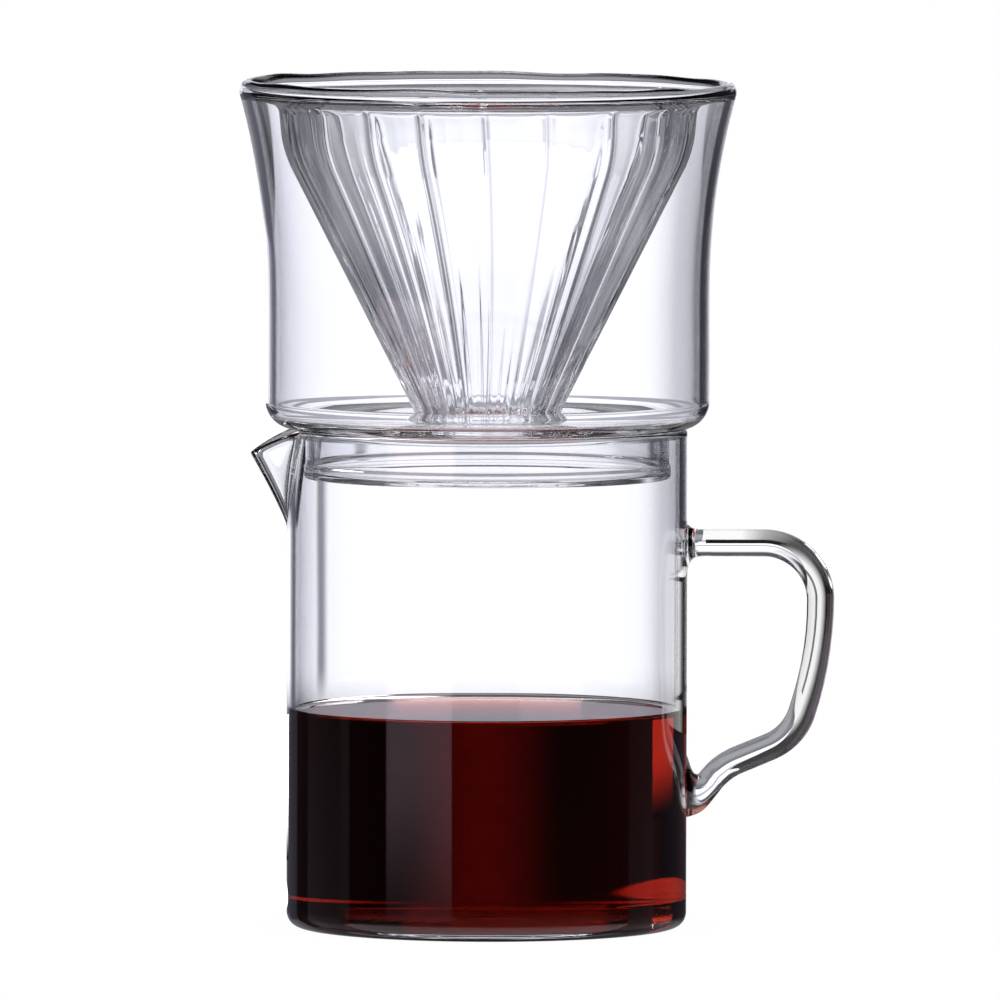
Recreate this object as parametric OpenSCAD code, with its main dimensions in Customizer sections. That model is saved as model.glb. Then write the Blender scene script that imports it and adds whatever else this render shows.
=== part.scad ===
// Glass pour over coffee set: a double-walled ribbed dripper standing in the neck of its carafe.
// Millimetres. The origin is the middle of the carafe's underside, +Z is up,
// the pour spout points to -X and the handle to +X.

/* [Carafe] */
// Outer diameter of the carafe
carafe_d = 85; // [80:1:95]
// Height of the carafe's rim
carafe_h = 106; // [100:1:120]
// Thickness of the carafe's wall
carafe_wall = 1.65; // [1.4:0.05:2]
// Thickness of the carafe's bottom
carafe_floor = 2; // [1.6:0.1:3]
// Outer radius of the carafe's bottom corner
carafe_corner = 3.2; // [3:0.1:6]
// Height of the coffee's surface
coffee_level = 46; // [20:1:75]

/* [Spout] */
// How far the spout's tip stands out of the wall
spout_reach = 8.1; // [6:0.1:11]
// How far the tip lies below the rim
spout_drop = 4.9; // [3:0.1:7]
// Height of the spout, from the rim to where its keel meets the wall
spout_height = 21; // [16:1:26]
// Half of the angle that the spout takes out of the rim
spout_half_angle = 20; // [15:1:25]
// Thickness of the spout's wall
spout_wall = 1.4; // [1.2:0.1:1.8]

/* [Handle] */
// Diameter of the glass rod
rod_d = 5.8; // [5:0.1:6.5]
// Height of the rod's level upper arm
arm_z = 81.7; // [78:0.1:84]
// Radius of the upper bend, on the rod's centre line
upper_bend = 12; // [10:0.5:13]
// Distance of the upper bend's centre from the carafe's axis
upper_bend_x = 58.8; // [56:0.1:62]
// Radius of the grip's slow bow, on the rod's centre line
grip_bend = 76; // [70:1:85]
// Lean of the grip from the vertical where the lower bend starts
grip_lean = 18.5; // [16:0.5:19]
// Radius of the lower bend, on the rod's centre line
lower_bend = 12; // [10:0.5:12.5]
// Slope of the lower arm
lower_slope = 22.5; // [18:0.5:26]
// Length of the straight lower arm
lower_length = 7.4; // [6:0.1:8]
// Radius of the last bend, towards the wall
root_bend = 14; // [12:0.5:16]
// Slope of the rod where it reaches the wall
root_slope = 52; // [46:1:56]
// Radius of the upper weld where it spreads on the wall
upper_weld_r = 6; // [5:0.1:7]
// Radius of the gob that joins the lower end to the wall
lower_weld_r = 4.2; // [3.6:0.1:4.6]

/* [Dripper] */
// Outer diameter of the dripper's straight body
body_d = 94.3; // [92:0.1:98]
// Outer diameter at the top of the flare
rim_d = 105.6; // [100:0.1:110]
// Height of the dripper, from its underside to the top of the rim
dripper_h = 73.6; // [70:0.1:76]
// Thickness of the outer wall
shell_wall = 2.1; // [1.8:0.1:2.4]
// Thickness of the dripper's bottom
base_wall = 2.35; // [2:0.05:3]
// Outer radius of the dripper's bottom corner
base_corner = 5.8; // [5:0.1:7]
// Height above the underside at which the wall starts to flare
flare_start = 24; // [18:1:30]
// Radius of the drip hole
drip_r = 11; // [9:0.5:12]
// Height of the rolled rim
rim_h = 2.55; // [2.2:0.05:3]
// Width of the rolled rim
rim_w = 3.4; // [3.2:0.1:4.2]
// Thickness of the ledge where it meets the outer wall under the rim
ledge_wall = 1.3; // [1:0.1:2]

/* [Ribbed cone] */
// Number of flutes round the cone
flutes = 20; // [12:1:24]
// Outer radius of the cone's foot
foot_r = 14.9; // [14:0.1:16]
// Outer radius at the top of the sloping wall
cone_top_r = 43.5; // [42:0.1:44]
// Height of the sloping wall
cone_h = 56.6; // [54:0.1:58]
// Thickness of the cone's wall, measured level
cone_wall = 2.2; // [2:0.1:2.6]
// Radius of a flute's rod at the foot
flute_foot_r = 1.45; // [1.3:0.05:1.6]
// Radius of a flute's rod at the top
flute_top_r = 2.5; // [2:0.1:3]
// Width and height of the weld ring round the foot
foot_ring = 1.7; // [1:0.1:2]

/* [Locating collar] */
// Outer diameter of the collar that drops into the carafe's neck
collar_d = 77.2; // [70:0.1:78]
// How far the collar reaches below the dripper's underside
collar_h = 10.5; // [8:0.5:14]
// Thickness of the collar
collar_wall = 1.8; // [1.5:0.1:2.2]

/* [Vent seal] */
// Radius of the vent hole through the dripper's bottom
vent_r = 1.25; // [1:0.05:1.5]
// Radius of the bead of glass that closes it
vent_bead_r = 2.4; // [2:0.1:3]
// Distance of the vent from the axis
vent_from_axis = 26; // [22:1:32]

/* [Fit] */
// Gap between the carafe's rim and the dripper standing on it
seat_gap = 0.05; // [0.02:0.01:0.1]

/* [Hidden] */
$fn = 96;

glass_colour = [0.86, 0.89, 0.93, 0.45];
rim_colour = [0.70, 0.74, 0.82, 0.6];
coffee_colour = [0.25, 0.03, 0.01];

// Steps of one rounded corner in an outline
arc_steps = 6;
// Steps of one bend of the handle, and sides of its rod
bend_steps = 10;
rod_sides = 20;
// Steps of the flared wall
flare_steps = 20;
// How sharply the flare opens towards the rim
flare_power = 2.3;

carafe_r = carafe_d / 2;
carafe_bore_r = carafe_r - carafe_wall;
carafe_lip = carafe_wall / 2 - 0.05;
spout_edge = 0.8;
corner_sides = 10;
rod_r = rod_d / 2;

base_z = carafe_h + seat_gap;
floor_z = base_z + base_wall;
rim_z = base_z + dripper_h - rim_h;
body_r = body_d / 2;
rim_r = rim_d / 2;
flare_z = base_z + flare_start;
cone_lean = atan((cone_top_r - foot_r) / cone_h);
cone_top_z = floor_z + cone_h;
ledge_z = rim_z - ledge_wall;
throat_r = cone_top_r + 0.9;
throat_z = ledge_z - 2.4;

// Centres of the bends in the rod's centre line, and the points between them
bend_a = [upper_bend_x, arm_z - upper_bend];
bow = bend_a + [upper_bend - grip_bend, 0];
bend_b = bow + (grip_bend - lower_bend) * [cos(grip_lean), -sin(grip_lean)];
lower_top = bend_b + lower_bend * [sin(lower_slope), -cos(lower_slope)];
lower_end = lower_top - lower_length * [cos(lower_slope), sin(lower_slope)];
bend_c = lower_end + root_bend * [sin(lower_slope), -cos(lower_slope)];
root_top = bend_c + root_bend * [-sin(root_slope), cos(root_slope)];
arm_start_x = carafe_r + 2.7;

function arc(centre, r, from, to) =
    [for (i = [0 : arc_steps]) let (a = from + (to - from) * i / arc_steps) centre + r * [cos(a), sin(a)]];
// Steps of the rod's path round a bend, each a point and the direction across the rod.
// first is 1 on a bend that runs on from another one, which already has the shared step.
function bend(centre, r, from, to, first = 0) =
    [for (i = [first : bend_steps]) let (a = from + (to - from) * i / bend_steps, across = [cos(a), sin(a)])
        [centre + r * across, across]];
function flare(z) =
    z <= flare_z ? body_r : body_r + (rim_r - body_r) * pow((z - flare_z) / (rim_z - flare_z), flare_power);
function flare_heights() =
    concat([for (i = [0 : flare_steps]) flare_z + (ledge_z - flare_z) * i / flare_steps], [rim_z]);
function reversed(list) = [for (i = [len(list) - 1 : -1 : 0]) list[i]];

// The space inside the carafe, up to the height top and with the radius lip_r at that height
function inside_outline(top, lip_r) = concat(
    [[0, carafe_floor]],
    arc([carafe_bore_r - carafe_corner + 1, carafe_floor + carafe_corner - 1], carafe_corner - 1, -90, 0),
    [[carafe_bore_r, min(top, carafe_h - carafe_lip)], [lip_r, top], [0, top]]);

// The spout's outer form, or with an inset the space inside it, as one pinched lip.
// Its corners lie inside the carafe's wall, so that no face only grazes the wall.
module spout_form(inset) {
    r = spout_edge;
    bury = 0.4;
    tip = [-carafe_r - spout_reach + r + inset, 0, carafe_h - spout_drop - r + 1.2 * inset];
    keel = [-carafe_r + r + bury + 0.5 * inset, 0, carafe_h - spout_height + 2.2 * inset];
    rim_at = carafe_r - r - bury - 0.4 * inset;
    half = spout_half_angle - 2 * inset;
    rim_corner = [-rim_at * cos(half), rim_at * sin(half), carafe_h - r - bury / 2 + 1.1 * inset];
    hull() {
        for (p = [tip, keel]) translate(p) sphere(r, $fn = corner_sides);
        for (side = [-1, 1])
            translate([rim_corner[0], side * rim_corner[1], rim_corner[2]]) sphere(r, $fn = corner_sides);
        if (inset > 0) {
            translate(tip + [0, 0, 2.5]) sphere(r, $fn = corner_sides);
            translate([-0.8 * carafe_bore_r, 0, carafe_h - spout_height / 2]) sphere(r, $fn = corner_sides);
        }
    }
}

module carafe_body() {
    outside = concat(
        [[0, 0]],
        arc([carafe_r - carafe_corner, carafe_corner], carafe_corner, -90, 0),
        arc([carafe_r - carafe_lip, carafe_h - carafe_lip], carafe_lip, 0, 90),
        [[0, carafe_h]]);
    color(glass_colour)
    difference() {
        union() {
            rotate_extrude() polygon(outside);
            spout_form(0);
        }
        rotate_extrude() polygon(inside_outline(carafe_h + 4, carafe_bore_r));
        spout_form(spout_wall);
    }
}

module coffee() {
    color(coffee_colour)
    rotate_extrude() polygon(inside_outline(coffee_level, carafe_bore_r));
}

// A round tube along a path in the X-Z plane. Each step of the path is a point and the direction
// across the rod there, which lies in the same plane.
module swept_rod(path, r) {
    rings = len(path);
    points = [for (step = path, j = [0 : rod_sides - 1])
        let (a = 360 * j / rod_sides, across = r * cos(a) * step[1])
            [step[0][0] + across[0], r * sin(a), step[0][1] + across[1]]];
    sides = [for (i = [0 : rings - 2], j = [0 : rod_sides - 1])
        let (k = (j + 1) % rod_sides, here = i * rod_sides, next = here + rod_sides)
            [here + j, here + k, next + k, next + j]];
    start_cap = [for (j = [rod_sides - 1 : -1 : 0]) j];
    end_cap = [for (j = [0 : rod_sides - 1]) (rings - 1) * rod_sides + j];
    polyhedron(points, concat([start_cap], sides, [end_cap]));
}

module handle_rod() {
    color(glass_colour)
    swept_rod(concat(
        [[[arm_start_x, arm_z], [0, 1]]],
        bend(bend_a, upper_bend, 90, 0),
        bend(bow, grip_bend, 0, -grip_lean, 1),
        bend(bend_b, lower_bend, -grip_lean, lower_slope - 90, 1),
        bend(bend_c, -root_bend, lower_slope - 90, root_slope - 90)), rod_r);
}

// Cuts a weld to the round wall that it is fused to
module on_carafe_wall() {
    difference() {
        children();
        cylinder(h = carafe_h, r = carafe_r);
    }
}

module handle_upper_weld() {
    color(glass_colour)
    on_carafe_wall()
        translate([carafe_r - 2, 0, arm_z])
            rotate([0, 90, 0])
                cylinder(h = arm_start_x - carafe_r + 2, r1 = upper_weld_r + 1.5, r2 = rod_r + 0.1, $fn = 48);
}

module handle_lower_weld() {
    stub = 5.2;
    foot = root_top - stub * [cos(root_slope), sin(root_slope)];
    color(glass_colour)
    on_carafe_wall()
        union() {
            translate([root_top[0], 0, root_top[1]])
                rotate([0, 270 - root_slope, 0])
                    cylinder(h = stub, r1 = rod_r + 0.1, r2 = lower_weld_r - 0.5, $fn = 48);
            translate([foot[0], 0, foot[1]]) sphere(lower_weld_r, $fn = 48);
        }
}

module outer_shell() {
    inner_corner = base_corner - shell_wall;
    outside = concat(
        [[drip_r, base_z]],
        arc([body_r - base_corner, base_z + base_corner], base_corner, -90, 0),
        [for (z = flare_heights()) [flare(z), z]]);
    inside = concat(
        [[drip_r, floor_z]],
        arc([body_r - shell_wall - inner_corner, floor_z + inner_corner], inner_corner, -90, 0),
        [for (z = flare_heights()) [flare(z) - shell_wall, z]]);
    color(glass_colour)
    difference() {
        rotate_extrude() polygon(concat(outside, reversed(inside)));
        translate([0, vent_from_axis, base_z - 1]) cylinder(h = base_wall + 2, r = vent_r, $fn = 32);
    }
}

// One flute: a rod laid in the sloping wall, standing out of it on both sides
module flute() {
    start = 2.6;
    run = (cone_h - start) / cos(cone_lean);
    middle_r = foot_r - cone_wall / 2 + start * tan(cone_lean);
    translate([middle_r, 0, floor_z + start])
        rotate([0, cone_lean, 0])
            cylinder(h = run, r1 = flute_foot_r, r2 = flute_top_r, $fn = 32);
}

module ribbed_cone() {
    wall = [
        [foot_r, floor_z],
        [cone_top_r, cone_top_z],
        [throat_r, throat_z],
        [flare(ledge_z) - shell_wall, ledge_z],
        [flare(rim_z) - shell_wall, rim_z],
        [rim_r - rim_w, rim_z],
        [throat_r - cone_wall, throat_z + 1.8],
        [cone_top_r - cone_wall, cone_top_z],
        [foot_r - cone_wall, floor_z]];
    color(glass_colour)
    union() {
        rotate_extrude() polygon(wall);
        for (i = [0 : flutes - 1]) rotate([0, 0, 360 * (i + 0.5) / flutes]) flute();
    }
}

// The rolled rim, where the outer wall and the cone's ledge are fused
module rim_bead() {
    round_r = rim_w / 2;
    dome = [for (i = [0 : 2 * arc_steps]) let (a = 180 * i / (2 * arc_steps))
            [rim_r - round_r + round_r * cos(a), rim_z + rim_h * sin(a)]];
    color(rim_colour)
    rotate_extrude() polygon(dome);
}

// The bead of glass in the sharp corner between the cone's foot and the dripper's floor
module cone_foot_ring() {
    color(rim_colour)
    rotate_extrude() polygon([
        [foot_r, floor_z],
        [foot_r + 1.3 * foot_ring, floor_z],
        [foot_r + foot_ring * tan(cone_lean), floor_z + foot_ring]]);
}

module locating_collar() {
    outer_r = collar_d / 2;
    lip = collar_wall / 2;
    color(glass_colour)
    rotate_extrude() polygon(concat(
        [[outer_r, base_z]],
        arc([outer_r - lip, base_z - collar_h + lip], lip, 0, -180),
        [[outer_r - collar_wall, base_z]]));
}

// The closed vent: a plug in the hole and the bead left under it
module vent_seal() {
    bead_h = 0.9;
    color(rim_colour)
    translate([0, vent_from_axis, base_z])
        rotate_extrude($fn = 32) polygon([
            [0, -bead_h],
            [0.5 * vent_bead_r, -0.85 * bead_h],
            [0.85 * vent_bead_r, -0.5 * bead_h],
            [vent_bead_r, 0],
            [vent_r, 0],
            [vent_r, base_wall],
            [0, base_wall]]);
}

carafe_body();
handle_rod();
handle_upper_weld();
handle_lower_weld();
coffee();
outer_shell();
ribbed_cone();
rim_bead();
cone_foot_ring();
locating_collar();
vent_seal();
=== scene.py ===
"""Looks of the glass pour over set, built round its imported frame.

Metres, +Z up, the pour spout towards -X and the handle towards +X. Each piece of glass is a closed
mesh. Where two pieces are fused, the faces that they share let light through unbent, so the glass
runs on without a seam, as it does in the real object.
"""

import math

import bpy
import numpy as np
from mathutils import Euler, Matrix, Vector


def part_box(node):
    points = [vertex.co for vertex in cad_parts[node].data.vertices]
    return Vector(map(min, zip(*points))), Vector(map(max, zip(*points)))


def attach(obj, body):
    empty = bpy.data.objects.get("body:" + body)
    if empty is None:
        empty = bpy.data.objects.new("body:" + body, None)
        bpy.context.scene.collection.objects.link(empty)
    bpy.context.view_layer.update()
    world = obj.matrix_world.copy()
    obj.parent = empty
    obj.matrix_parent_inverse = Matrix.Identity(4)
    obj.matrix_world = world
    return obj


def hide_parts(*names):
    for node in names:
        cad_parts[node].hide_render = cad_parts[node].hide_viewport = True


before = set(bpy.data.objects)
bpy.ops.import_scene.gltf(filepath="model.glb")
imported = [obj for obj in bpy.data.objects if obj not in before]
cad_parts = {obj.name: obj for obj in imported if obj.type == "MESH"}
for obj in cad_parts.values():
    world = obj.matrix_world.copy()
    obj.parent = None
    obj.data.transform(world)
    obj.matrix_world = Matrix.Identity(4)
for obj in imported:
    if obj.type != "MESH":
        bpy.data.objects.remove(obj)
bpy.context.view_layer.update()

MM = 0.001

# Places and sizes that the frame gives
BODY_LOW, BODY_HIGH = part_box("carafe_body")
COFFEE_LOW, COFFEE_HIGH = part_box("coffee")
ROD_LOW, ROD_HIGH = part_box("handle_rod")
SHELL_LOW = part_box("outer_shell")[0]
CONE_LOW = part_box("ribbed_cone")[0]
RIM_LOW, RIM_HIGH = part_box("rim_bead")
COLLAR_LOW, COLLAR_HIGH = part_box("locating_collar")
VENT_LOW, VENT_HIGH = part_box("vent_seal")

CARAFE_R = BODY_HIGH.x
CARAFE_TOP = BODY_HIGH.z
BORE_R = COFFEE_HIGH.x
CARAFE_FLOOR = COFFEE_LOW.z
COFFEE_LEVEL = COFFEE_HIGH.z
SPOUT_TIP_R = -BODY_LOW.x
BASE_Z = SHELL_LOW.z
FLOOR_Z = CONE_LOW.z
RIM_Z = RIM_LOW.z
RIM_TOP = RIM_HIGH.z
RIM_R = RIM_HIGH.x

# The carafe's own details
CARAFE_CORNER = 3.2 * MM
INNER_CORNER = CARAFE_CORNER - 1.2 * MM
FLOOR_DOME = 0.3 * MM
LIP_ROUND = 0.8 * MM
SPOUT_KEEL_Z = CARAFE_TOP - 21.0 * MM
SPOUT_TIP_DROP = 4.9 * MM
SPOUT_HALF_ANGLE = math.radians(20)
MENISCUS = 0.7 * MM
MENISCUS_REACH = 0.8 * MM
AXIS_GAP = 0.1 * MM

# The dripper's own details
SHELL_WALL = 2.1 * MM
BODY_R = 47.15 * MM
BASE_CORNER = 5.8 * MM
FLARE_START = BASE_Z + 24.0 * MM
FLARE_POWER = 2.3
DRIP_R = 11.0 * MM
LEDGE_TOP = RIM_Z - 0.1 * MM
LEDGE_Z = LEDGE_TOP - 0.6 * MM
RIM_WIDTH = 2.8 * MM
COLLAR_WALL = 1.8 * MM
FLUTES = 20
FOOT_R = 14.9 * MM
FOOT_RISE = 1.1 * MM
CONE_TOP_R = 43.5 * MM
CONE_TOP_Z = FLOOR_Z + 56.6 * MM
CONE_WALL = 2.0 * MM
THROAT_R = CONE_TOP_R + 0.9 * MM
THROAT_Z = LEDGE_Z - 2.2 * MM


# ---------------------------------------------------------------- outlines


def arc(centre, radius, start, end, steps=8):
    """Points round a centre, from one angle to another, in degrees."""
    angles = np.radians(np.linspace(start, end, steps + 1))
    return np.column_stack([centre[0] + radius * np.cos(angles), centre[1] + radius * np.sin(angles)])


def line(start, end, spacing=1.5 * MM):
    """Points along a straight stretch, closer together near its ends, so that it shades as flat."""
    start, end = np.array(start, float), np.array(end, float)
    length = np.linalg.norm(end - start)
    steps = max(2, int(round(length / spacing)))
    t = np.linspace(0, 1, steps + 1)
    t = 0.5 * t + 0.5 * (3 * t**2 - 2 * t**3)
    return start + (end - start) * t[:, None]


def joined(*stretches):
    """One outline from several stretches, without the points that two of them share."""
    points = np.vstack(stretches)
    step = np.linalg.norm(np.diff(points, axis=0), axis=1)
    keep = np.concatenate([[True], step > 0.01 * MM])
    return points[keep]


def rounded(corners, radii, spacing=1.5 * MM):
    """An outline through corners, each of them rounded by its radius; the two ends stay sharp."""
    corners = [np.array(c, float) for c in corners]
    stretches, last = [], corners[0]
    for before, corner, after, radius in zip(corners, corners[1:], corners[2:], radii):
        a = (before - corner) / np.linalg.norm(before - corner)
        b = (after - corner) / np.linalg.norm(after - corner)
        half = math.acos(max(-1.0, min(1.0, float(a @ b)))) / 2
        cut = radius / math.tan(half)
        steps = max(4, int(round((math.pi - 2 * half) * radius / (0.35 * MM))))
        t = np.linspace(0, 1, steps + 1)[:, None]
        start, end = corner + a * cut, corner + b * cut
        # A rational quadratic curve with this weight is the true arc
        weight = math.sin(half)
        bottom = (1 - t) ** 2 + 2 * weight * t * (1 - t) + t**2
        curve = ((1 - t) ** 2 * start + 2 * weight * t * (1 - t) * corner + t**2 * end) / bottom
        stretches += [line(last, start, spacing), curve]
        last = end
    stretches.append(line(last, corners[-1], spacing))
    return joined(*stretches)


def flare(z):
    """Outer radius of the dripper's wall at a height."""
    t = np.clip((np.asarray(z) - FLARE_START) / (RIM_Z - FLARE_START), 0, 1)
    return BODY_R + (RIM_R - BODY_R) * t**FLARE_POWER


# ---------------------------------------------------------------- meshes


def mesh_object(name, points, faces, fused=None):
    """A smooth mesh object with its faces turned outwards. Faces marked as fused take the second slot."""
    mesh = bpy.data.meshes.new(name)
    corners = points[[[f[0], f[1], f[2]] for f in faces]]
    volume = np.einsum("ij,ij->", corners[:, 0], np.cross(corners[:, 1], corners[:, 2]))
    quads = [f for f in faces if len(f) == 4]
    if quads:
        rest = points[[[f[0], f[2], f[3]] for f in quads]]
        volume += np.einsum("ij,ij->", rest[:, 0], np.cross(rest[:, 1], rest[:, 2]))
    if volume < 0:
        faces = [tuple(reversed(f)) for f in faces]
    mesh.from_pydata(points.tolist(), [], faces)
    mesh.polygons.foreach_set("use_smooth", [True] * len(faces))
    mesh.update()
    obj = bpy.data.objects.new(name, mesh)
    bpy.context.scene.collection.objects.link(obj)
    if fused is not None:
        mark_fused(obj, fused)
    return obj


def mark_fused(obj, fused):
    """Gives the fused faces the second slot, and keeps their slant out of the shading next to them."""
    mesh = obj.data
    fused = np.asarray(fused, np.int32)
    mesh.polygons.foreach_set("material_index", fused)
    sizes = np.zeros(len(mesh.polygons), np.int32)
    mesh.polygons.foreach_get("loop_total", sizes)
    edges = np.zeros(len(mesh.loops), np.int32)
    mesh.loops.foreach_get("edge_index", edges)
    sides, shared = np.zeros(len(mesh.edges)), np.zeros(len(mesh.edges))
    np.add.at(sides, edges, 1)
    np.add.at(shared, edges, np.repeat(fused, sizes))
    sharp = (shared > 0) & (shared < sides)
    attribute = mesh.attributes.get("sharp_edge") or mesh.attributes.new("sharp_edge", "BOOLEAN", "EDGE")
    attribute.data.foreach_set("value", sharp)
    mesh.update()


def mark_ends_fused(obj, columns):
    """Marks the faces round the two poles of an open grid as fused. They are its last faces."""
    fused = np.zeros(len(obj.data.polygons), np.int32)
    fused[-2 * columns:] = 1
    mark_fused(obj, fused)


def ring_faces(rows, columns, closed):
    """Faces of a grid whose columns go round, and whose rows do too if it is closed."""
    faces = []
    for i in range(rows if closed else rows - 1):
        here, there = i * columns, ((i + 1) % rows) * columns
        for j in range(columns):
            k = (j + 1) % columns
            faces.append((here + j, here + k, there + k, there + j))
    return faces


def grid_object(name, grid, closed, poles=(), fused_where=None):
    """A closed mesh from a grid of rows by columns of points, which go round.

    An open grid is closed by a pole at each end: a point that its first or last row runs to.
    fused_where takes the faces' middles and says which of them are shared with a fused piece.
    """
    rows, columns = grid.shape[:2]
    points = grid.reshape(-1, 3)
    faces = ring_faces(rows, columns, closed)
    if not closed:
        points = np.vstack([points, np.array(poles, float)])
        first, last = rows * columns, rows * columns + 1
        end = (rows - 1) * columns
        faces += [((j + 1) % columns, j, first) for j in range(columns)]
        faces += [(end + j, end + (j + 1) % columns, last) for j in range(columns)]
    fused = None
    if fused_where is not None:
        middles = np.array([points[list(f)].mean(axis=0) for f in faces])
        fused = fused_where(middles)
    return mesh_object(name, points, faces, fused)


def wobble(angle, z, size, seed):
    """Slow waves round and along a blown wall, as a change of its radius."""
    a = np.cos(2 * angle + 1.3 * seed + 17 * z) + 0.7 * np.cos(3 * angle - 2.1 * seed - 31 * z)
    b = 0.5 * np.cos(5 * angle + 0.7 * seed + 60 * z) + 0.3 * np.cos(9 * angle + seed - 90 * z)
    return size * (a + b) / 2.5


def turned(outline, columns, ripple=0.0, seed=0.0):
    """The grid that an outline of (radius, height) makes when it is turned about the Z axis."""
    angle = np.linspace(0, 2 * math.pi, columns, endpoint=False)[None, :]
    r, z = outline[:, 0][:, None], outline[:, 1][:, None]
    r = r + wobble(angle, z, ripple, seed) * np.clip(r / (30 * MM), 0, 1)
    return np.stack([r * np.cos(angle), r * np.sin(angle), z + 0 * angle], axis=2)


def radius_of(points):
    return np.hypot(points[:, 0], points[:, 1])


def finished(obj, node_names, body, slot_name, *materials):
    """Gives a piece its materials, hangs it on the empty of the body that it rides on, and hides the nodes
    that it stands for.
    """
    for material in materials:
        obj.data.materials.append(material)
    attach(obj, body)
    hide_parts(*node_names)
    return obj


# ---------------------------------------------------------------- materials


class Shader:
    """Short calls for building a node tree."""

    def __init__(self, tree):
        tree.nodes.clear()
        self.tree = tree

    def node(self, kind, settings=None, **inputs):
        node = self.tree.nodes.new(kind)
        for name, value in (settings or {}).items():
            setattr(node, name, value)
        for name, value in inputs.items():
            self.put(node, name.replace("_", " "), value)
        return node

    def put(self, node, name, value):
        socket = node.inputs[int(name) if isinstance(name, int) else name]
        if isinstance(value, bpy.types.NodeSocket):
            self.tree.links.new(value, socket)
        else:
            socket.default_value = value

    def maths(self, operation, *values, clamp=False):
        node = self.tree.nodes.new("ShaderNodeMath")
        node.operation, node.use_clamp = operation, clamp
        for i, value in enumerate(values):
            self.put(node, i, value)
        return node.outputs[0]

    def fade(self, value, from_full, to_none):
        """1 where value is at from_full or before, falling smoothly to 0 at to_none."""
        node = self.tree.nodes.new("ShaderNodeMapRange")
        node.interpolation_type = "SMOOTHSTEP"
        for name, number in zip(("From Min", "From Max", "To Min", "To Max"), (from_full, to_none, 1.0, 0.0)):
            node.inputs[name].default_value = number
        self.tree.links.new(value, node.inputs["Value"])
        return node.outputs[0]

    def mix(self, factor, a, b):
        node = self.tree.nodes.new("ShaderNodeMix")
        node.data_type = "RGBA"
        for i, value in ((0, factor), (6, a), (7, b)):
            self.put(node, i, value)
        return node.outputs[2]

    def mix_shaders(self, factor, a, b):
        node = self.tree.nodes.new("ShaderNodeMixShader")
        for i, value in enumerate((factor, a, b)):
            self.put(node, i, value)
        return node.outputs[0]


COFFEE_TINT = (0.645, 0.18, 0.045, 1)
COFFEE_DENSITY = 110.0
WATER_INDEX, GLASS_INDEX = 1.33, 1.47


def new_material(name):
    material = bpy.data.materials.new(name)
    material.use_nodes = True
    return material, Shader(material.node_tree)


def glass(name, tint, wave_height, wave_scale, stretch):
    """Clear borosilicate. Faint waves in its skin come from how the piece was made."""
    material, s = new_material(name)
    place = s.node("ShaderNodeTexCoord").outputs["Object"]
    mapping = s.node("ShaderNodeMapping", Vector=place, Scale=stretch)
    noise = s.node(
        "ShaderNodeTexNoise", Vector=mapping.outputs[0], Scale=wave_scale, Detail=1.5, Roughness=0.4
    )
    bump = s.node("ShaderNodeBump", Strength=1.0, Distance=wave_height, Height=noise.outputs["Fac"])
    skin = s.node(
        "ShaderNodeBsdfPrincipled", Base_Color=tint, Roughness=0.0, IOR=GLASS_INDEX, Transmission_Weight=1.0
    )
    s.put(skin, "Normal", bump.outputs[0])
    s.node("ShaderNodeOutputMaterial", Surface=skin.outputs[0])
    return material


def fused_joint():
    """The faces inside the glass where two pieces are fused: light goes straight through."""
    material, s = new_material("fused_joint")
    clear = s.node("ShaderNodeBsdfTransparent", Color=(1, 1, 1, 1))
    s.node("ShaderNodeOutputMaterial", Surface=clear.outputs[0])
    return material


def coffee_liquid():
    """Coffee: clear at its skin, and deep red-brown through its depth.

    Its side and bottom are wetted glass, so light crosses them from glass and not from air.
    """
    material, s = new_material("coffee_liquid")
    wetted = s.node("ShaderNodeAttribute", {"attribute_name": "wetted"}).outputs["Fac"]
    air_side = s.maths("MULTIPLY", s.maths("SUBTRACT", 1.0, wetted), WATER_INDEX)
    index = s.maths("ADD", air_side, s.maths("MULTIPLY", wetted, WATER_INDEX / GLASS_INDEX))
    skin = s.node(
        "ShaderNodeBsdfPrincipled", Base_Color=(1, 1, 1, 1), Roughness=0.0, IOR=index, Transmission_Weight=1.0
    )
    depth = s.node("ShaderNodeVolumeAbsorption", Color=COFFEE_TINT, Density=COFFEE_DENSITY)
    s.node("ShaderNodeOutputMaterial", Surface=skin.outputs[0], Volume=depth.outputs[0])
    return material


BLOWN = glass("blown_glass", (0.985, 0.99, 1.0, 1), 0.02 * MM, 60.0, (1, 1, 0.25))
FLUTED = glass("fluted_glass", (0.97, 0.975, 0.99, 1), 0.01 * MM, 90.0, (1, 1, 0.25))
ROD = glass("rod_glass", (0.97, 0.985, 0.985, 1), 0.01 * MM, 160.0, (1, 1, 1))
FUSED = fused_joint()
COFFEE = coffee_liquid()


# ---------------------------------------------------------------- carafe

ROD_R = (ROD_HIGH.y - ROD_LOW.y) / 2
ARM_Z = ROD_HIGH.z - ROD_R
WELD_BURY = 0.35 * MM
UPPER_FOOT_Z, UPPER_FOOT_HALF, UPPER_FOOT_Y = ARM_Z - 1.1 * MM, 5.8 * MM, 5.6 * MM
LOWER_FOOT_Z, LOWER_FOOT_HALF, LOWER_FOOT_Y = 30.4 * MM, 7.2 * MM, 4.6 * MM


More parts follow.
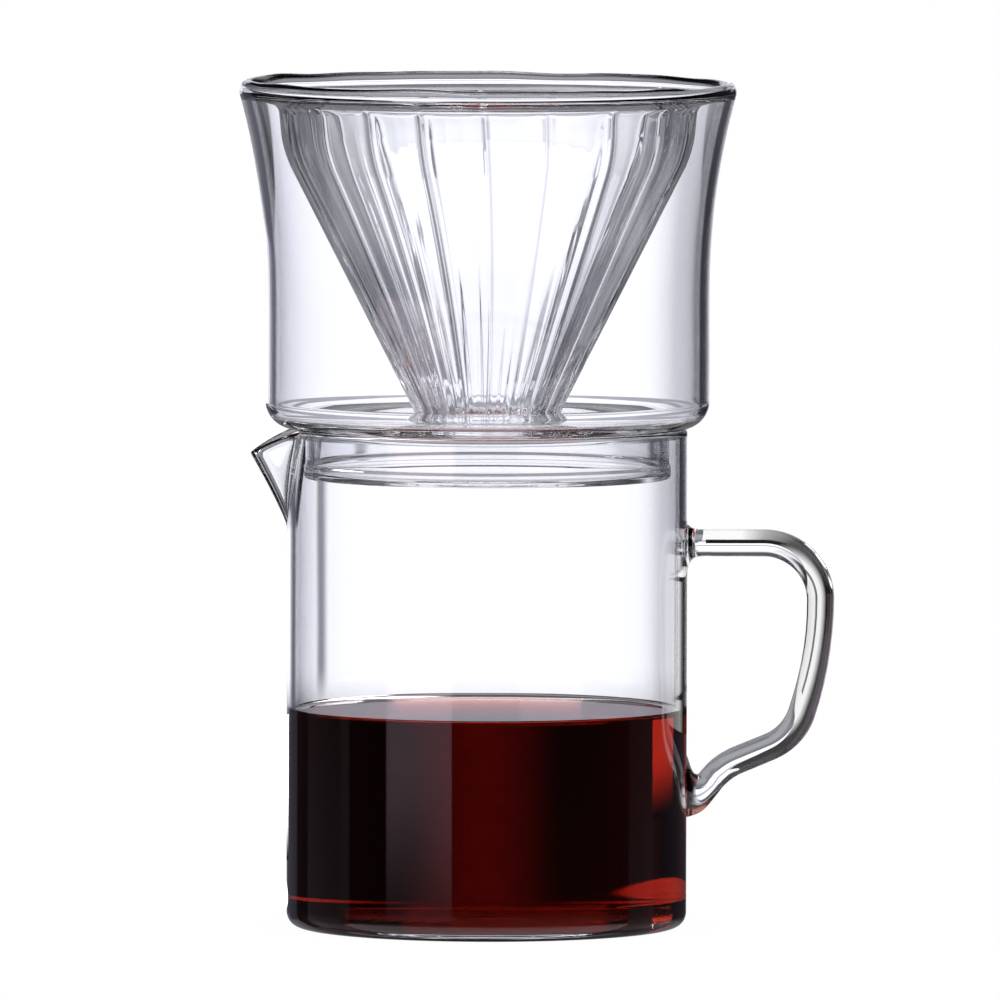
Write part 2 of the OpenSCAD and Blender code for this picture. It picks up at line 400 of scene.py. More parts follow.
def spout_reach(angle):
    """How far the rim stands out of the round at an angle from the spout's middle: a pinched point."""
    tip_round = math.radians(1.5)
    a = np.sqrt(np.asarray(angle) ** 2 + tip_round**2) - tip_round
    slant = math.radians(36.4)
    top = SPOUT_TIP_R * math.cos(slant) / np.cos(np.clip(a - slant, -slant, 1.0))
    over = top - CARAFE_R
    soft = 0.25 * MM
    reach = 0.5 * (over + np.sqrt(over**2 + soft**2)) - 0.25 * soft
    edge = np.clip((SPOUT_HALF_ANGLE * 1.35 - np.abs(angle)) / (SPOUT_HALF_ANGLE * 0.35), 0, 1)
    return np.maximum(reach, 0) * edge**2 * (3 - 2 * edge)


def carafe_grid(columns):
    """The carafe's wall, outside and inside, with the spout pulled out of it."""
    angle = np.linspace(0, 2 * math.pi, columns, endpoint=False)
    from_spout = np.abs(angle - math.pi)
    reach = spout_reach(from_spout)
    full = reach.max()
    top = CARAFE_TOP - SPOUT_TIP_DROP * (reach / full) ** 1.1
    start = SPOUT_KEEL_Z - 3 * MM
    keel = SPOUT_KEEL_Z + (CARAFE_TOP - SPOUT_KEEL_Z) * np.clip(from_spout / SPOUT_HALF_ANGLE, 0, 1) ** 1.3

    def ring(radius, z):
        """One row at a height, with the share of the spout's reach that it has there."""
        t = np.clip((z - keel) / np.maximum(top - keel, 0.5 * MM), 0, 1)
        pull = t**1.15 * reach
        r = radius + pull + wobble(angle, z, 0.03 * MM, 2.0)
        return np.column_stack([r * np.cos(angle), r * np.sin(angle), z])

    outside = rounded([(AXIS_GAP, FLOOR_DOME), (30 * MM, 0.0), (CARAFE_R, 0), (CARAFE_R, start)],
                      [20 * MM, CARAFE_CORNER], 2 * MM)
    inside = rounded([(BORE_R, start), (BORE_R, CARAFE_FLOOR), (AXIS_GAP, CARAFE_FLOOR + FLOOR_DOME)],
                     [INNER_CORNER], 2 * MM)

    def bottom_or_wall(radius, z, wall_radius):
        """A row of the round bottom, or of the wall with its waves."""
        heights = z * np.ones(columns)
        if radius > wall_radius:
            return ring(radius, heights)
        return np.column_stack([radius * np.cos(angle), radius * np.sin(angle), heights])

    rows = [bottom_or_wall(r, z, CARAFE_R - MM) for r, z in outside]
    lip_z = top - LIP_ROUND
    for t in np.linspace(0, 1, 26)[1:]:
        rows.append(ring(CARAFE_R, start + (lip_z - start) * t))
    middle = (CARAFE_R + BORE_R) / 2
    for a in np.radians(np.linspace(0, 180, 11))[1:-1]:
        rows.append(ring(middle + (CARAFE_R - middle) * math.cos(a), lip_z + LIP_ROUND * math.sin(a)))
    for t in np.linspace(1, 0, 26)[:-1]:
        rows.append(ring(BORE_R, start + (lip_z - start) * t))
    rows += [bottom_or_wall(r, z, BORE_R - 0.1 * MM) for r, z in inside]
    return np.stack(rows)


def carafe_fused(middles):
    """Faces of the carafe that the coffee wets, or that a weld of the handle covers."""
    r, z = radius_of(middles), middles[:, 2]
    inner = (r < BORE_R + 0.3 * MM) & (z > 0.8 * CARAFE_FLOOR)
    wetted = inner & (z < COFFEE_LEVEL + MENISCUS)
    outer = (r > CARAFE_R - 0.3 * MM) & (middles[:, 0] > 0)
    for foot_z, foot_half, foot_y in ((UPPER_FOOT_Z, UPPER_FOOT_HALF, UPPER_FOOT_Y),
                                      (LOWER_FOOT_Z, LOWER_FOOT_HALF, LOWER_FOOT_Y)):
        across = np.hypot(middles[:, 1] / foot_y, (z - foot_z) / foot_half)
        wetted = wetted | (outer & (across < 0.9))
    return wetted


def make_carafe():
    grid = carafe_grid(384)
    poles = [(0, 0, FLOOR_DOME), (0, 0, CARAFE_FLOOR + FLOOR_DOME)]
    obj = grid_object("carafe_glass", grid, False, poles, carafe_fused)
    finished(obj, ["carafe_body"], "carafe", "blown_glass", BLOWN, FUSED)


def make_coffee():
    """The coffee fills the carafe to its wall, and climbs it a little all round."""
    r = BORE_R + 0.02 * MM
    low = CARAFE_FLOOR - 0.02 * MM
    brim = COFFEE_LEVEL + MENISCUS
    side = rounded([(AXIS_GAP, low + FLOOR_DOME), (r, low), (r, brim)], [INNER_CORNER], 2 * MM)
    from_wall = np.linspace(0, 10 * MENISCUS_REACH, 30)[1:]
    climb = np.column_stack([r - from_wall, COFFEE_LEVEL + MENISCUS * np.exp(-from_wall / MENISCUS_REACH)])
    outline = joined(side, climb, line(climb[-1], (AXIS_GAP, COFFEE_LEVEL), 4 * MM))
    poles = [(0, 0, low + FLOOR_DOME), (0, 0, COFFEE_LEVEL)]
    obj = grid_object("coffee_fill", turned(outline, 256), False, poles)
    middles = np.array([p.center for p in obj.data.polygons])
    on_wall = (radius_of(middles) > BORE_R - 0.01 * MM) | (middles[:, 2] < COFFEE_LEVEL - MM)
    attribute = obj.data.attributes.new("wetted", "FLOAT", "FACE")
    attribute.data.foreach_set("value", on_wall.astype(np.float32))
    finished(obj, ["coffee"], "carafe", "coffee", COFFEE)


# ---------------------------------------------------------------- handle

# Radii of the rod's bends from its upper end to its lower one, and its slopes in degrees
UPPER_BEND, GRIP_BEND, LOWER_BEND, ROOT_BEND = 12.0 * MM, 76.0 * MM, 12.0 * MM, 14.0 * MM
GRIP_LEAN, LOWER_SLOPE, ROOT_SLOPE = 18.5, 22.5, 52.0
LOWER_LENGTH = 7.4 * MM


def handle_path():
    """The rod's centre line in the X-Z plane, from the upper weld to the lower one, with its normals."""

    def turn(centre, radius, start, end):
        steps = max(6, int(abs(end - start) / 2.5))
        a = np.radians(np.linspace(start, end, steps + 1))
        across = np.column_stack([np.cos(a), np.sin(a)])
        return centre + radius * across, across

    def onward(point, heading, length):
        return point + length * np.array([math.cos(math.radians(heading)), math.sin(math.radians(heading))])

    bend_x = ROD_HIGH.x - ROD_R - UPPER_BEND
    upper = turn(np.array([bend_x, ARM_Z - UPPER_BEND]), UPPER_BEND, 90, 0)
    grip = turn(upper[0][-1] - GRIP_BEND * upper[1][-1], GRIP_BEND, 0, -GRIP_LEAN)
    lower = turn(grip[0][-1] - LOWER_BEND * grip[1][-1], LOWER_BEND, -GRIP_LEAN, LOWER_SLOPE - 90)
    arm_end = onward(lower[0][-1], 180 + LOWER_SLOPE, LOWER_LENGTH)
    root = turn(arm_end + ROOT_BEND * lower[1][-1], -ROOT_BEND, LOWER_SLOPE - 90, ROOT_SLOPE - 90)
    start = np.array([[ROD_LOW.x, ARM_Z]]), np.array([[0.0, 1.0]])
    parts = [start, upper, grip, lower, root]
    points, across = np.vstack([p[0] for p in parts]), np.vstack([p[1] for p in parts])
    fresh = np.concatenate([[True], np.linalg.norm(np.diff(points, axis=0), axis=1) > 0.01 * MM])
    points, across = points[fresh], across[fresh]
    # Straight stretches get rings of their own, so that the rod can ripple along them
    out_points, out_across = [points[0]], [across[0]]
    for p, q, m, n in zip(points, points[1:], across, across[1:]):
        steps = max(1, int(np.linalg.norm(q - p) / (0.9 * MM)))
        for t in np.linspace(0, 1, steps + 1)[1:]:
            out_points.append(p + (q - p) * t)
            out_across.append(m + (n - m) * t)
    return np.array(out_points), np.array(out_across)


def make_handle():
    points, across = handle_path()
    sides = 40
    around = np.linspace(0, 2 * math.pi, sides, endpoint=False)
    run = np.concatenate([[0], np.cumsum(np.linalg.norm(np.diff(points, axis=0), axis=1))])
    swell = 1 + 0.012 * np.sin(run / (9 * MM)) + 0.008 * np.sin(run / (4 * MM) + 1)
    swell[:3] = swell[-3:] = 1
    grid = np.zeros((len(points), sides, 3))
    grid[:, :, 0] = points[:, 0, None] + ROD_R * swell[:, None] * across[:, 0, None] * np.cos(around)
    grid[:, :, 1] = ROD_R * swell[:, None] * np.sin(around)
    grid[:, :, 2] = points[:, 1, None] + ROD_R * swell[:, None] * across[:, 1, None] * np.cos(around)
    ends = [(points[0, 0], 0, points[0, 1]), (points[-1, 0], 0, points[-1, 1])]
    obj = grid_object("handle_rod_glass", grid, False, ends)
    mark_ends_fused(obj, sides)
    finished(obj, ["handle_rod"], "carafe", "rod_glass", ROD, FUSED)


def flowing_weld(name, node_name, start, heading, up, foot_z, foot_half, foot_y, under):
    """Glass that flows from the rod's end onto the wall, as rings between the two outlines.

    under is how far its lower side meets the wall squarely instead of spreading along it, 0 to 1.
    """
    sides, steps = 72, 36
    around = np.linspace(0, 2 * math.pi, sides, endpoint=False)
    cos, sin = np.cos(around), np.sin(around)
    ring = np.column_stack([start[0] + ROD_R * up[0] * cos, ROD_R * sin, start[1] + ROD_R * up[1] * cos])
    y = foot_y * sin
    foot = np.column_stack([np.sqrt((CARAFE_R - WELD_BURY) ** 2 - y**2), y, foot_z + foot_half * cos])
    span = np.linalg.norm(foot - ring, axis=1)[:, None]
    square = under * (1 - cos) / 2
    leave = np.column_stack([heading[0] + 0 * cos, 0 * cos, heading[1] + 0 * cos])
    leave = leave * (1.3 + 0.5 * square)[:, None] * span
    along = np.column_stack([-0.35 + 0 * cos, 0.9 * sin, 0.9 * cos])
    across = np.column_stack([-1 + 0 * cos, 0.25 * sin, 0.25 * cos])
    arrive = along * (1 - square)[:, None] + across * square[:, None]
    arrive = arrive * 1.2 * span
    rows = []
    for t in np.linspace(0, 1, steps + 1):
        rows.append((2 * t**3 - 3 * t**2 + 1) * ring + (t**3 - 2 * t**2 + t) * leave
                    + (3 * t**2 - 2 * t**3) * foot + (t**3 - t**2) * arrive)
    grid = np.stack(rows)
    wall_x = np.sqrt(np.maximum((CARAFE_R - WELD_BURY) ** 2 - grid[:, :, 1] ** 2, 0))
    grid[:, :, 0] = np.maximum(grid[:, :, 0], wall_x)
    poles = [(start[0], 0, start[1]), (CARAFE_R - WELD_BURY, 0, foot_z)]
    obj = grid_object(name, grid, False, poles)
    mark_ends_fused(obj, sides)
    finished(obj, [node_name], "carafe", "rod_glass", ROD, FUSED)


def make_welds():
    points, across = handle_path()
    flowing_weld("upper_weld_glass", "handle_upper_weld", points[0], (-1.0, 0.0), (0.0, 1.0),
                 UPPER_FOOT_Z, UPPER_FOOT_HALF, UPPER_FOOT_Y, 0.0)
    up = -across[-1]
    flowing_weld("lower_weld_glass", "handle_lower_weld", points[-1], (-up[1], up[0]), up,
                 LOWER_FOOT_Z, LOWER_FOOT_HALF, LOWER_FOOT_Y, 1.0)


# ---------------------------------------------------------------- dripper


def make_outer_shell():
    ledge_heights = np.linspace(LEDGE_Z, LEDGE_TOP, 4)[1:]
    top_heights = np.linspace(LEDGE_TOP, RIM_Z, 4)[1:]
    heights = np.concatenate([np.linspace(FLARE_START, LEDGE_Z, 60), ledge_heights, top_heights])
    inner_corner = 2.0 * MM
    edge = 0.6 * MM
    outside = rounded(
        [(DRIP_R, (BASE_Z + FLOOR_Z) / 2), (DRIP_R, BASE_Z), (BODY_R, BASE_Z), (BODY_R, FLARE_START)],
        [edge, BASE_CORNER])
    inside = rounded(
        [(BODY_R - SHELL_WALL, FLARE_START), (BODY_R - SHELL_WALL, FLOOR_Z), (DRIP_R, FLOOR_Z),
         (DRIP_R, (BASE_Z + FLOOR_Z) / 2)],
        [inner_corner, edge])
    rising = np.column_stack([flare(heights), heights])
    falling = np.column_stack([flare(heights) - SHELL_WALL, heights])[::-1]
    seam = np.linspace(rising[-1], falling[0], 5)
    outline = joined(outside, rising, seam, falling, inside[:-1])

    def shared(middles):
        r, z = radius_of(middles), middles[:, 2]
        near = 0.05 * MM
        top = z > RIM_Z - near
        ledge = (z > LEDGE_Z) & (z < LEDGE_TOP) & (r < flare(z) - SHELL_WALL + 0.3 * MM)
        foot = (np.abs(z - FLOOR_Z) < near) & (r > FOOT_R - CONE_WALL) & (r < FOOT_R + FOOT_RISE)
        collar = (np.abs(z - BASE_Z) < near) & (r > COLLAR_HIGH.x - COLLAR_WALL) & (r < COLLAR_HIGH.x)
        return top | ledge | foot | collar

    obj = grid_object("outer_shell_glass", turned(outline, 256, 0.05 * MM, 5.0), True, fused_where=shared)
    finished(obj, ["outer_shell"], "dripper", "blown_glass", BLOWN, FUSED)


def flute_columns():
    """Each column's place in its flute, 0 to 1 from crease to crease, and its even angle.

    The columns crowd at the creases, which are narrow.
    """
    steps, crowding = 30, 0.88
    t = np.linspace(0, 1, steps, endpoint=False)
    place = t - crowding * np.sin(2 * math.pi * t) / (2 * math.pi)
    flute = np.arange(FLUTES)[:, None]
    return np.tile(place, FLUTES), ((flute + place) * 2 * math.pi / FLUTES).ravel()


def crease(arc_length, width):
    """The section of a crease: 1 in its middle, falling to 0 on both sides."""
    return np.exp(-((arc_length / width) ** 2))


def flute_push(place, even, r, z, outside):
    """How far the fluted wall stands out of a plain cone: low round lobes, and creases between them.

    The flutes start at the foot and die out at the throat.
    """
    share = np.clip((z - FLOOR_Z) / (THROAT_Z - FLOOR_Z), 0, 1)
    rise = np.clip((z - FLOOR_Z - 0.1 * MM) / (1.2 * MM), 0, 1)
    end = np.clip((THROAT_Z + 2.4 * MM - z) / (2.5 * MM), 0, 1)
    alive = rise * end**2 * (3 - 2 * end)
    width = 2 * math.pi / FLUTES * r
    strength = 1 + 0.35 * np.cos(3 * even + 0.8) + 0.25 * np.cos(7 * even)
    lobe = 0.35 * MM * (np.sin(math.pi * place) - 0.6)
    main = crease(np.minimum(place, 1 - place) * width, (0.42 + 0.25 * share) * MM)
    between = crease(np.abs(place - 0.36) * width, 0.30 * MM)
    between = between + crease(np.abs(place - 0.68) * width, 0.26 * MM)
    if outside:
        cut = 0.20 * MM * main * strength + 0.05 * MM * between * (1 - share) ** 0.7
    else:
        cut = 0.05 * MM * main + 0.07 * MM * between * (1 - share) ** 0.5 * strength
        cut = -cut
    return alive * (lobe - cut)


def make_ribbed_cone():
    wall_r = float(flare(LEDGE_Z)) - SHELL_WALL
    top_r = float(flare(LEDGE_TOP)) - SHELL_WALL
    outside = rounded(
        [(FOOT_R, FLOOR_Z), (CONE_TOP_R, CONE_TOP_Z), (THROAT_R, THROAT_Z + 0.4 * MM), (wall_r, LEDGE_Z)],
        [25 * MM, 2.2 * MM], 0.9 * MM)
    seam = np.linspace((wall_r, LEDGE_Z), (top_r, LEDGE_TOP), 4)
    inside = rounded(
        [(top_r, LEDGE_TOP), (THROAT_R - CONE_WALL + 0.6 * MM, THROAT_Z + 1.4 * MM),
         (CONE_TOP_R - CONE_WALL - 0.2 * MM, CONE_TOP_Z), (FOOT_R - CONE_WALL - 0.2 * MM, FLOOR_Z)],
        [3.5 * MM, 27 * MM], 0.9 * MM)
    bottom = np.linspace(inside[-1], outside[0], 4)
    outline = joined(outside, seam, inside, bottom[:-1])
    place, even = flute_columns()
    r, z = outline[:, 0][:, None], outline[:, 1][:, None]
    share = np.clip((z - FLOOR_Z) / (THROAT_Z - FLOOR_Z), 0, 1)
    push = flute_push(place, even, r, z, True)
    first_inner = len(outside) + 2
    inner_rows = slice(first_inner, first_inner + len(inside))
    push[inner_rows] = flute_push(place, even, r, z, False)[inner_rows]
    r = r + push
    twist = 0.10 * (1 - share) * share**0.5 * np.cos(even + 2.0)
    angle = even + 0.03 * np.cos(3 * even + 1) + 0.012 * np.cos(8 * even) + twist
    grid = np.stack([r * np.cos(angle), r * np.sin(angle), z + 0 * angle], axis=2)

    def shared(middles):
        r, z = radius_of(middles), middles[:, 2]
        near = 0.05 * MM
        seam_side = (z > LEDGE_Z + near) & (r > flare(z) - SHELL_WALL - 0.1 * MM)
        foot_side = (z < FLOOR_Z + FOOT_RISE) & (r > FOOT_R - 0.3 * MM)
        return seam_side | (z < FLOOR_Z + near) | foot_side

    obj = grid_object("ribbed_cone_glass", grid, True, fused_where=shared)
    finished(obj, ["ribbed_cone"], "dripper", "fluted_glass", FLUTED, FUSED)


def make_rim():
    """The rolled rim, a little uneven, as the fire leaves it. It swells inwards over the wall."""
    half = RIM_WIDTH / 2
    right_drop = 0.3
    a = np.radians(np.linspace(0, 180, 29))
    middle = RIM_R - half
    inner = RIM_R - SHELL_WALL
    blend = np.clip(1 - np.sin(a) / 0.45, 0, 1) ** 2
    radius = middle + half * np.cos(a)
    radius = np.where(np.cos(a) < 0, radius * (1 - blend) + inner * blend, radius)
    dome = np.column_stack([radius, RIM_Z + (RIM_TOP - RIM_Z) * np.sin(a)])
    bottom = np.linspace(dome[-1], dome[0], 8)[1:-1]
    grid = turned(np.vstack([dome, bottom]), 360, 0.05 * MM, 5.0)
    angle = np.arctan2(grid[:, :, 1], grid[:, :, 0])
    lift = np.clip((grid[:, :, 2] - RIM_Z) / (RIM_TOP - RIM_Z), 0, 1)
    waves = 0.12 * np.cos(7 * angle + 0.4) + 0.09 * np.cos(11 * angle + 2) + 0.06 * np.cos(17 * angle)
    grid[:, :, 2] += lift * (waves - right_drop * np.cos(angle)) * MM

    def shared(middles):
        return middles[:, 2] < RIM_Z + 0.03 * MM

    obj = grid_object("rim_glass", grid, True, fused_where=shared)
    finished(obj, ["rim_bead"], "dripper", "fluted_glass", FLUTED, FUSED)


def make_foot_ring():
    lean = (CONE_TOP_R - FOOT_R) / (CONE_TOP_Z - FLOOR_Z)
    top = (FOOT_R + FOOT_RISE * lean, FLOOR_Z + FOOT_RISE)
    edge = (FOOT_R + FOOT_RISE, FLOOR_Z)
    corner = (FOOT_R, FLOOR_Z)
    t = np.linspace(0, 1, 9)[:, None]
    inner = np.array([FOOT_R + 0.6 * MM, FLOOR_Z + 0.2 * MM])
    fillet = (1 - t) ** 2 * np.array(edge) + 2 * t * (1 - t) * inner + t**2 * np.array(top)
    side = np.linspace(top, corner, 5)[1:]
    bottom = np.linspace(corner, edge, 5)[1:-1]

    def shared(middles):
        r, z = radius_of(middles), middles[:, 2]
        on_cone = r < FOOT_R + (z - FLOOR_Z) * lean + 0.03 * MM
        return on_cone | (z < FLOOR_Z + 0.01 * MM)

    grid = turned(np.vstack([fillet, side, bottom]), 128)
    obj = grid_object("foot_ring_glass", grid, True, fused_where=shared)
    finished(obj, ["cone_foot_ring"], "dripper", "fluted_glass", FLUTED, FUSED)


def make_collar():
    outer, inner = COLLAR_HIGH.x, COLLAR_HIGH.x - COLLAR_WALL
    lip = COLLAR_WALL / 2
    bead, bead_top = 0.3 * MM, COLLAR_LOW.z + 2.8 * MM
    outline = joined(
        rounded([(outer, BASE_Z), (outer, bead_top + 0.3 * MM), (outer + bead, bead_top - 0.2 * MM),
                 (outer + bead, COLLAR_LOW.z + lip)], [0.4 * MM, 0.4 * MM], 1.0 * MM),
        arc((outer + bead - lip, COLLAR_LOW.z + lip), lip, 0, -180, 10),
        line((inner, COLLAR_LOW.z + lip), (inner, BASE_Z)),
        np.linspace((inner, BASE_Z), (outer, BASE_Z), 4)[:-1])

    def shared(middles):
        return middles[:, 2] > BASE_Z - 0.01 * MM

    obj = grid_object("collar_glass", turned(outline, 256, 0.04 * MM, 3.0), True, fused_where=shared)
    finished(obj, ["locating_collar"], "dripper", "blown_glass", BLOWN, FUSED)


def make_vent_seal():
    """The bead that closes the vent under the dripper's bottom."""
    centre = (VENT_LOW + VENT_HIGH) / 2
    radius = (VENT_HIGH.x - VENT_LOW.x) / 2
    drop = BASE_Z - VENT_LOW.z
    a = np.radians(np.linspace(88, 2, 12))
    outline = np.column_stack([radius * np.cos(a), BASE_Z - drop * np.sin(a)])
    outline = np.vstack([outline, [(0.6 * radius, BASE_Z)]])
    grid = turned(outline, 40)
    grid[:, :, 0] += centre.x
    grid[:, :, 1] += centre.y
    poles = [(centre.x, centre.y, VENT_LOW.z), (centre.x, centre.y, BASE_Z)]

    def shared(middles):
        return middles[:, 2] > BASE_Z - 0.03 * MM

    obj = grid_object("vent_seal_glass", grid, False, poles, shared)
    finished(obj, ["vent_seal"], "dripper", "fluted_glass", FLUTED, FUSED)


# ---------------------------------------------------------------- studio

# Cards and flags round the object. Each has a bearing from straight behind the object, clockwise, half
# its width, the heights between which it stands, how softly its top and bottom fade, how softly its sides
# do, all in degrees, and its light. A later one lies over the ones before it.
CARDS = [
    ("back_ground", 0, 90, -90, -5, 2, 2, (0.20, 0.20, 0.23)),
    ("near_ground", 0, 90, -30, -13, 4, 4, (0.32, 0.32, 0.34)),
    ("middle_ground", 0, 16, -90, -30, 4, 8, (0.10, 0.10, 0.11)),
    ("front_ground", 180, 90, -90, -8.5, 2.5, 2.5, (1.1, 1.1, 1.15)),
    ("overhead", 180, 90, 24, 90, 6, 6, (1.1, 1.1, 1.15)),
    ("back_top", 0, 90, 12, 90, 4, 4, (0.03, 0.03, 0.035)),
    ("back_wall", 12, 26, 12, 26, 4, 4, (0.95, 0.95, 1.0)),
    ("zenith", 0, 200, 62, 100, 4, 4, (1.1, 1.1, 1.15)),
    ("left_wash", -9, 11, -4.2, 16, 0.1, 3, (1.15, 1.15, 1.28)),
    ("left_shade", -29, 9, -12, 16, 3, 3, (0.10, 0.10, 0.13)),
    ("right_wash", 6, 6, -4.2, 16, 0.1, 4, (0.85, 0.85, 0.92)),
    ("right_flag", 40, 27, -12, 16, 6, 6, (0.04, 0.04, 0.05)),
    ("backdrop", -0.5, 5, -4.2, 20, 0.1, 3, (1.22, 1.22, 1.26)),
    ("left_line", -4.6, 0.5, -4.2, -3.4, 0.1, 0.8, (0.35, 0.35, 0.4)),
    ("surface_shade", 0, 25, 2.4, 5.6, 0.4, 0.4, (0.50, 0.50, 0.56)),
    ("coffee_glow", 0.5, 6, -7, -4.2, 0.1, 12, (1.15, 1.15, 1.2)),
    ("rear_left_window", -46, 8, -30, 14, 2, 2, (0.02, 0.02, 0.022)),
    ("front_left_softbox", -140, 20, -4.75, 22, 0.35, 1, (1.0, 0.72, 0.85)),
    ("side_card", -90, 3.5, -12, 20, 2, 2, (0.12, 0.12, 0.13)),
]
ROOM = (0.02, 0.02, 0.022, 1)

# Where the white paper lights the glass: a centre in metres, a stretch that makes a long patch round, a
# radius in metres, and how strongly it does
PAPER = [
    ((0.0, 0.016, 0.0), (1.35, 1, 1), 0.048, 2.6),
    ((-0.034, 0.079, 0.0), (1.35, 1, 1), 0.035, 3.5),
]

# Small cards and flags close behind the glass: name, lowest and highest corner in millimetres, the
# light at their left and right ends, how far up their light grows, and how many glass surfaces they are
# seen through at most: two for the solid rod of the handle, so that they don't show in the carafe.
LOW_CARDS = [
    ("coffee_card", (-84, 131, 12), (-46, 131, 35), 3.4, 4.8, 14, 8),
    ("coffee_edge_card", (-61, 60, 9), (-27, 60, 39), 3.6, 2.6, 14, 8),
    ("grip_flag", (47, 38, 38), (62, 38, 80), 0.008, 0.015, 0, 2),
    ("grip_fade", (62, 38, 38), (70.5, 38, 80), 0.015, 0.95, 0, 2),
    ("grip_card", (70.5, 38, 38), (118, 38, 80), 1.0, 0.75, 0, 2),
    ("grip_line", (76.5, 37.9, 44), (80.5, 37.9, 80), 0.05, 0.3, 0, 2),
    ("arm_card", (46, 4, 74), (54, 48, 74), 1.0, 1.0, 0, 2),
    ("arm_fade", (54, 4, 74), (62, 48, 74), 1.0, 0.02, 0, 2),
    ("arm_flag", (46, 4, 73), (62, 48, 73), 0.02, 0.02, 0, 2),
    ("lower_arm_flag", (46.5, 12, 47), (63, 62, 47), 0.015, 0.015, 0, 2),
]


def make_world():
    """The light of the studio: cards and flags on a grey room, and plain white behind the object."""
    world = bpy.data.worlds.new("studio")
    bpy.context.scene.world = world
    world.use_nodes = True
    s = Shader(world.node_tree)
    direction = s.node("ShaderNodeTexCoord").outputs["Generated"]
    axes = s.node("ShaderNodeSeparateXYZ", Vector=direction).outputs
    level = s.maths("SQRT", s.maths("ADD", s.maths("MULTIPLY", axes[0], axes[0]),
                                    s.maths("MULTIPLY", axes[1], axes[1])))
    level = s.maths("MAXIMUM", level, 1e-5)
    height = s.maths("MULTIPLY", s.maths("ARCTAN2", axes[2], level), 180 / math.pi)
    colour = ROOM
    for _, bearing, half, low, high, soft, side, light in CARDS:
        turn = math.radians(bearing)
        along = s.maths("ADD", s.maths("MULTIPLY", axes[0], math.sin(turn)),
                        s.maths("MULTIPLY", axes[1], math.cos(turn)))
        cosine = s.maths("MINIMUM", s.maths("MAXIMUM", s.maths("DIVIDE", along, level), -1.0), 1.0)
        away = s.maths("MULTIPLY", s.maths("ARCCOSINE", cosine), 180 / math.pi)
        inside = s.fade(away, half - side / 2, half + side / 2)
        below_top = s.fade(height, high - soft, high + soft)
        above_low = s.maths("SUBTRACT", 1.0, s.fade(height, low - soft, low + soft))
        mask = s.maths("MULTIPLY", inside, s.maths("MULTIPLY", below_top, above_low))
        colour = s.mix(mask, colour, (*light, 1))
    seen = s.node("ShaderNodeLightPath").outputs["Is Camera Ray"]
    colour = s.mix(seen, colour, (1, 1, 1, 1))
    background = s.node("ShaderNodeBackground", Color=colour, Strength=1.0)
    s.node("ShaderNodeOutputWorld", Surface=background.outputs[0])


def make_floor():
    """A sheet of white paper, with a soft shade where the carafe stands on it.

    The camera sees it white to its edge. It lights the glass only in the patches of PAPER, and beyond
    those the studio's darker ground does.
    """
    columns, sheet_radius, gap = 96, 0.45, 0.02 * MM
    a = np.linspace(0, 2 * math.pi, columns, endpoint=False)
    points = np.column_stack([sheet_radius * np.cos(a), sheet_radius * np.sin(a), np.full(columns, -gap)])
    mesh = bpy.data.meshes.new("floor")
    mesh.from_pydata(points.tolist(), [], [tuple(range(columns))])
    obj = bpy.data.objects.new("floor", mesh)
    bpy.context.scene.collection.objects.link(obj)
    material, s = new_material("floor_white")
    shade = s.node("ShaderNodeAmbientOcclusion", {"samples": 8}, Distance=16 * MM)
    tone = s.mix(shade.outputs["AO"], (0.985, 0.985, 0.985, 1), (1, 1, 1, 1))
    place = s.node("ShaderNodeTexCoord").outputs["Object"]
    near, light = 0.0, 0.0
    for centre, stretch, radius, strength in PAPER:
        moved = s.node("ShaderNodeVectorMath", {"operation": "SUBTRACT"})
        s.put(moved, 0, place)
        s.put(moved, 1, centre)
        scaled = s.node("ShaderNodeVectorMath", {"operation": "MULTIPLY"})
        s.put(scaled, 0, moved.outputs[0])
        s.put(scaled, 1, stretch)
        length = s.node("ShaderNodeVectorMath", {"operation": "LENGTH"})
        s.put(length, 0, scaled.outputs[0])
        patch = s.fade(length.outputs["Value"], radius, 1.2 * radius)
        near = s.maths("MAXIMUM", near, patch)
        light = s.maths("MAXIMUM", light, s.maths("MULTIPLY", patch, strength))
    seen = s.node("ShaderNodeLightPath").outputs["Is Camera Ray"]
    hidden_light = s.maths("MULTIPLY", light, s.maths("SUBTRACT", 1.0, seen))
    paper = s.node("ShaderNodeEmission", Color=tone, Strength=s.maths("ADD", seen, hidden_light))
    clear = s.node("ShaderNodeBsdfTransparent")
    both = s.mix_shaders(s.maths("MAXIMUM", seen, near), clear.outputs[0], paper.outputs[0])
    s.node("ShaderNodeOutputMaterial", Surface=both)
    mesh.materials.append(material)


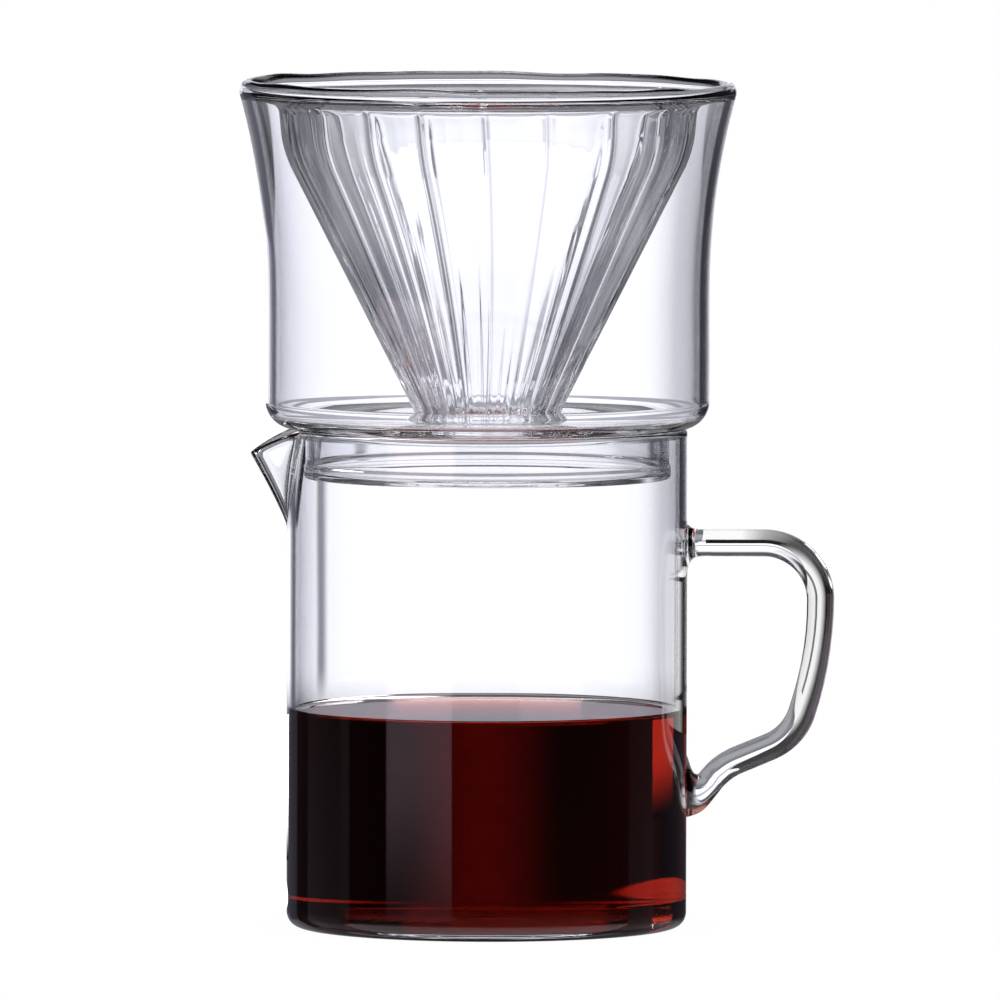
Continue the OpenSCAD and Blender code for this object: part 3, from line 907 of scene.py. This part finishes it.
def make_low_cards():
    """Cards that light the coffee's right side and the handle. The camera doesn't see them directly."""
    for name, low, high, left_light, right_light, growth, surfaces in LOW_CARDS:
        low, high = Vector(low) * MM, Vector(high) * MM
        corners = np.array([low, (high.x, low.y, low.z), high, (low.x, high.y, high.z)])
        mesh = bpy.data.meshes.new(name)
        mesh.from_pydata(corners.tolist(), [], [(0, 1, 2, 3)])
        obj = bpy.data.objects.new(name, mesh)
        bpy.context.scene.collection.objects.link(obj)
        material, s = new_material(name)
        place = s.node("ShaderNodeTexCoord").outputs["Object"]
        axes = s.node("ShaderNodeSeparateXYZ", Vector=place).outputs
        x, z = axes[0], axes[2]
        share = s.maths("DIVIDE", s.maths("SUBTRACT", x, low.x), high.x - low.x, clamp=True)
        light = s.maths("ADD", s.maths("MULTIPLY", share, right_light - left_light), left_light)
        light = s.maths("MULTIPLY", light, s.fade(z, low.z + growth * MM, low.z - 0.1 * MM))
        glow = s.node("ShaderNodeEmission", Color=(1.0, 0.98, 0.98, 1), Strength=light)
        clear = s.node("ShaderNodeBsdfTransparent")
        path = s.node("ShaderNodeLightPath").outputs
        too_deep = s.maths("GREATER_THAN", path["Transmission Depth"], surfaces + 0.5)
        hidden = s.maths("MAXIMUM", path["Is Camera Ray"], too_deep)
        both = s.mix_shaders(hidden, glow.outputs[0], clear.outputs[0])
        s.node("ShaderNodeOutputMaterial", Surface=both)
        mesh.materials.append(material)


def make_camera():
    """A long lens from the front, a little above, as for a product photograph."""
    distance, pitch, roll = 4.0, math.radians(3.6), math.radians(0.12)
    view_width = 212.2 * MM
    aim = Vector((2.7 * MM, 0, 90.7 * MM))
    camera = bpy.data.cameras.new("camera")
    camera.sensor_width = 36
    camera.lens = camera.sensor_width * distance / view_width
    camera.clip_start, camera.clip_end = 0.1, 50
    obj = bpy.data.objects.new("camera", camera)
    bpy.context.scene.collection.objects.link(obj)
    obj.location = aim + distance * Vector((0, -math.cos(pitch), math.sin(pitch)))
    turn = Euler((math.pi / 2 - pitch, 0, 0)).to_matrix() @ Euler((0, 0, roll)).to_matrix()
    obj.rotation_euler = turn.to_euler()
    bpy.context.scene.camera = obj


def set_view():
    scene = bpy.context.scene
    scene.view_settings.view_transform = "Standard"
    scene.view_settings.look = "None"
    cycles = scene.cycles
    cycles.max_bounces = cycles.transmission_bounces = 40
    cycles.transparent_max_bounces = 40
    cycles.glossy_bounces = 12
    cycles.caustics_refractive = cycles.caustics_reflective = True


make_camera()
make_world()
make_floor()
make_low_cards()
make_carafe()
make_coffee()
make_handle()
make_welds()
make_outer_shell()
make_ribbed_cone()
make_rim()
make_foot_ring()
make_collar()
make_vent_seal()
set_view()
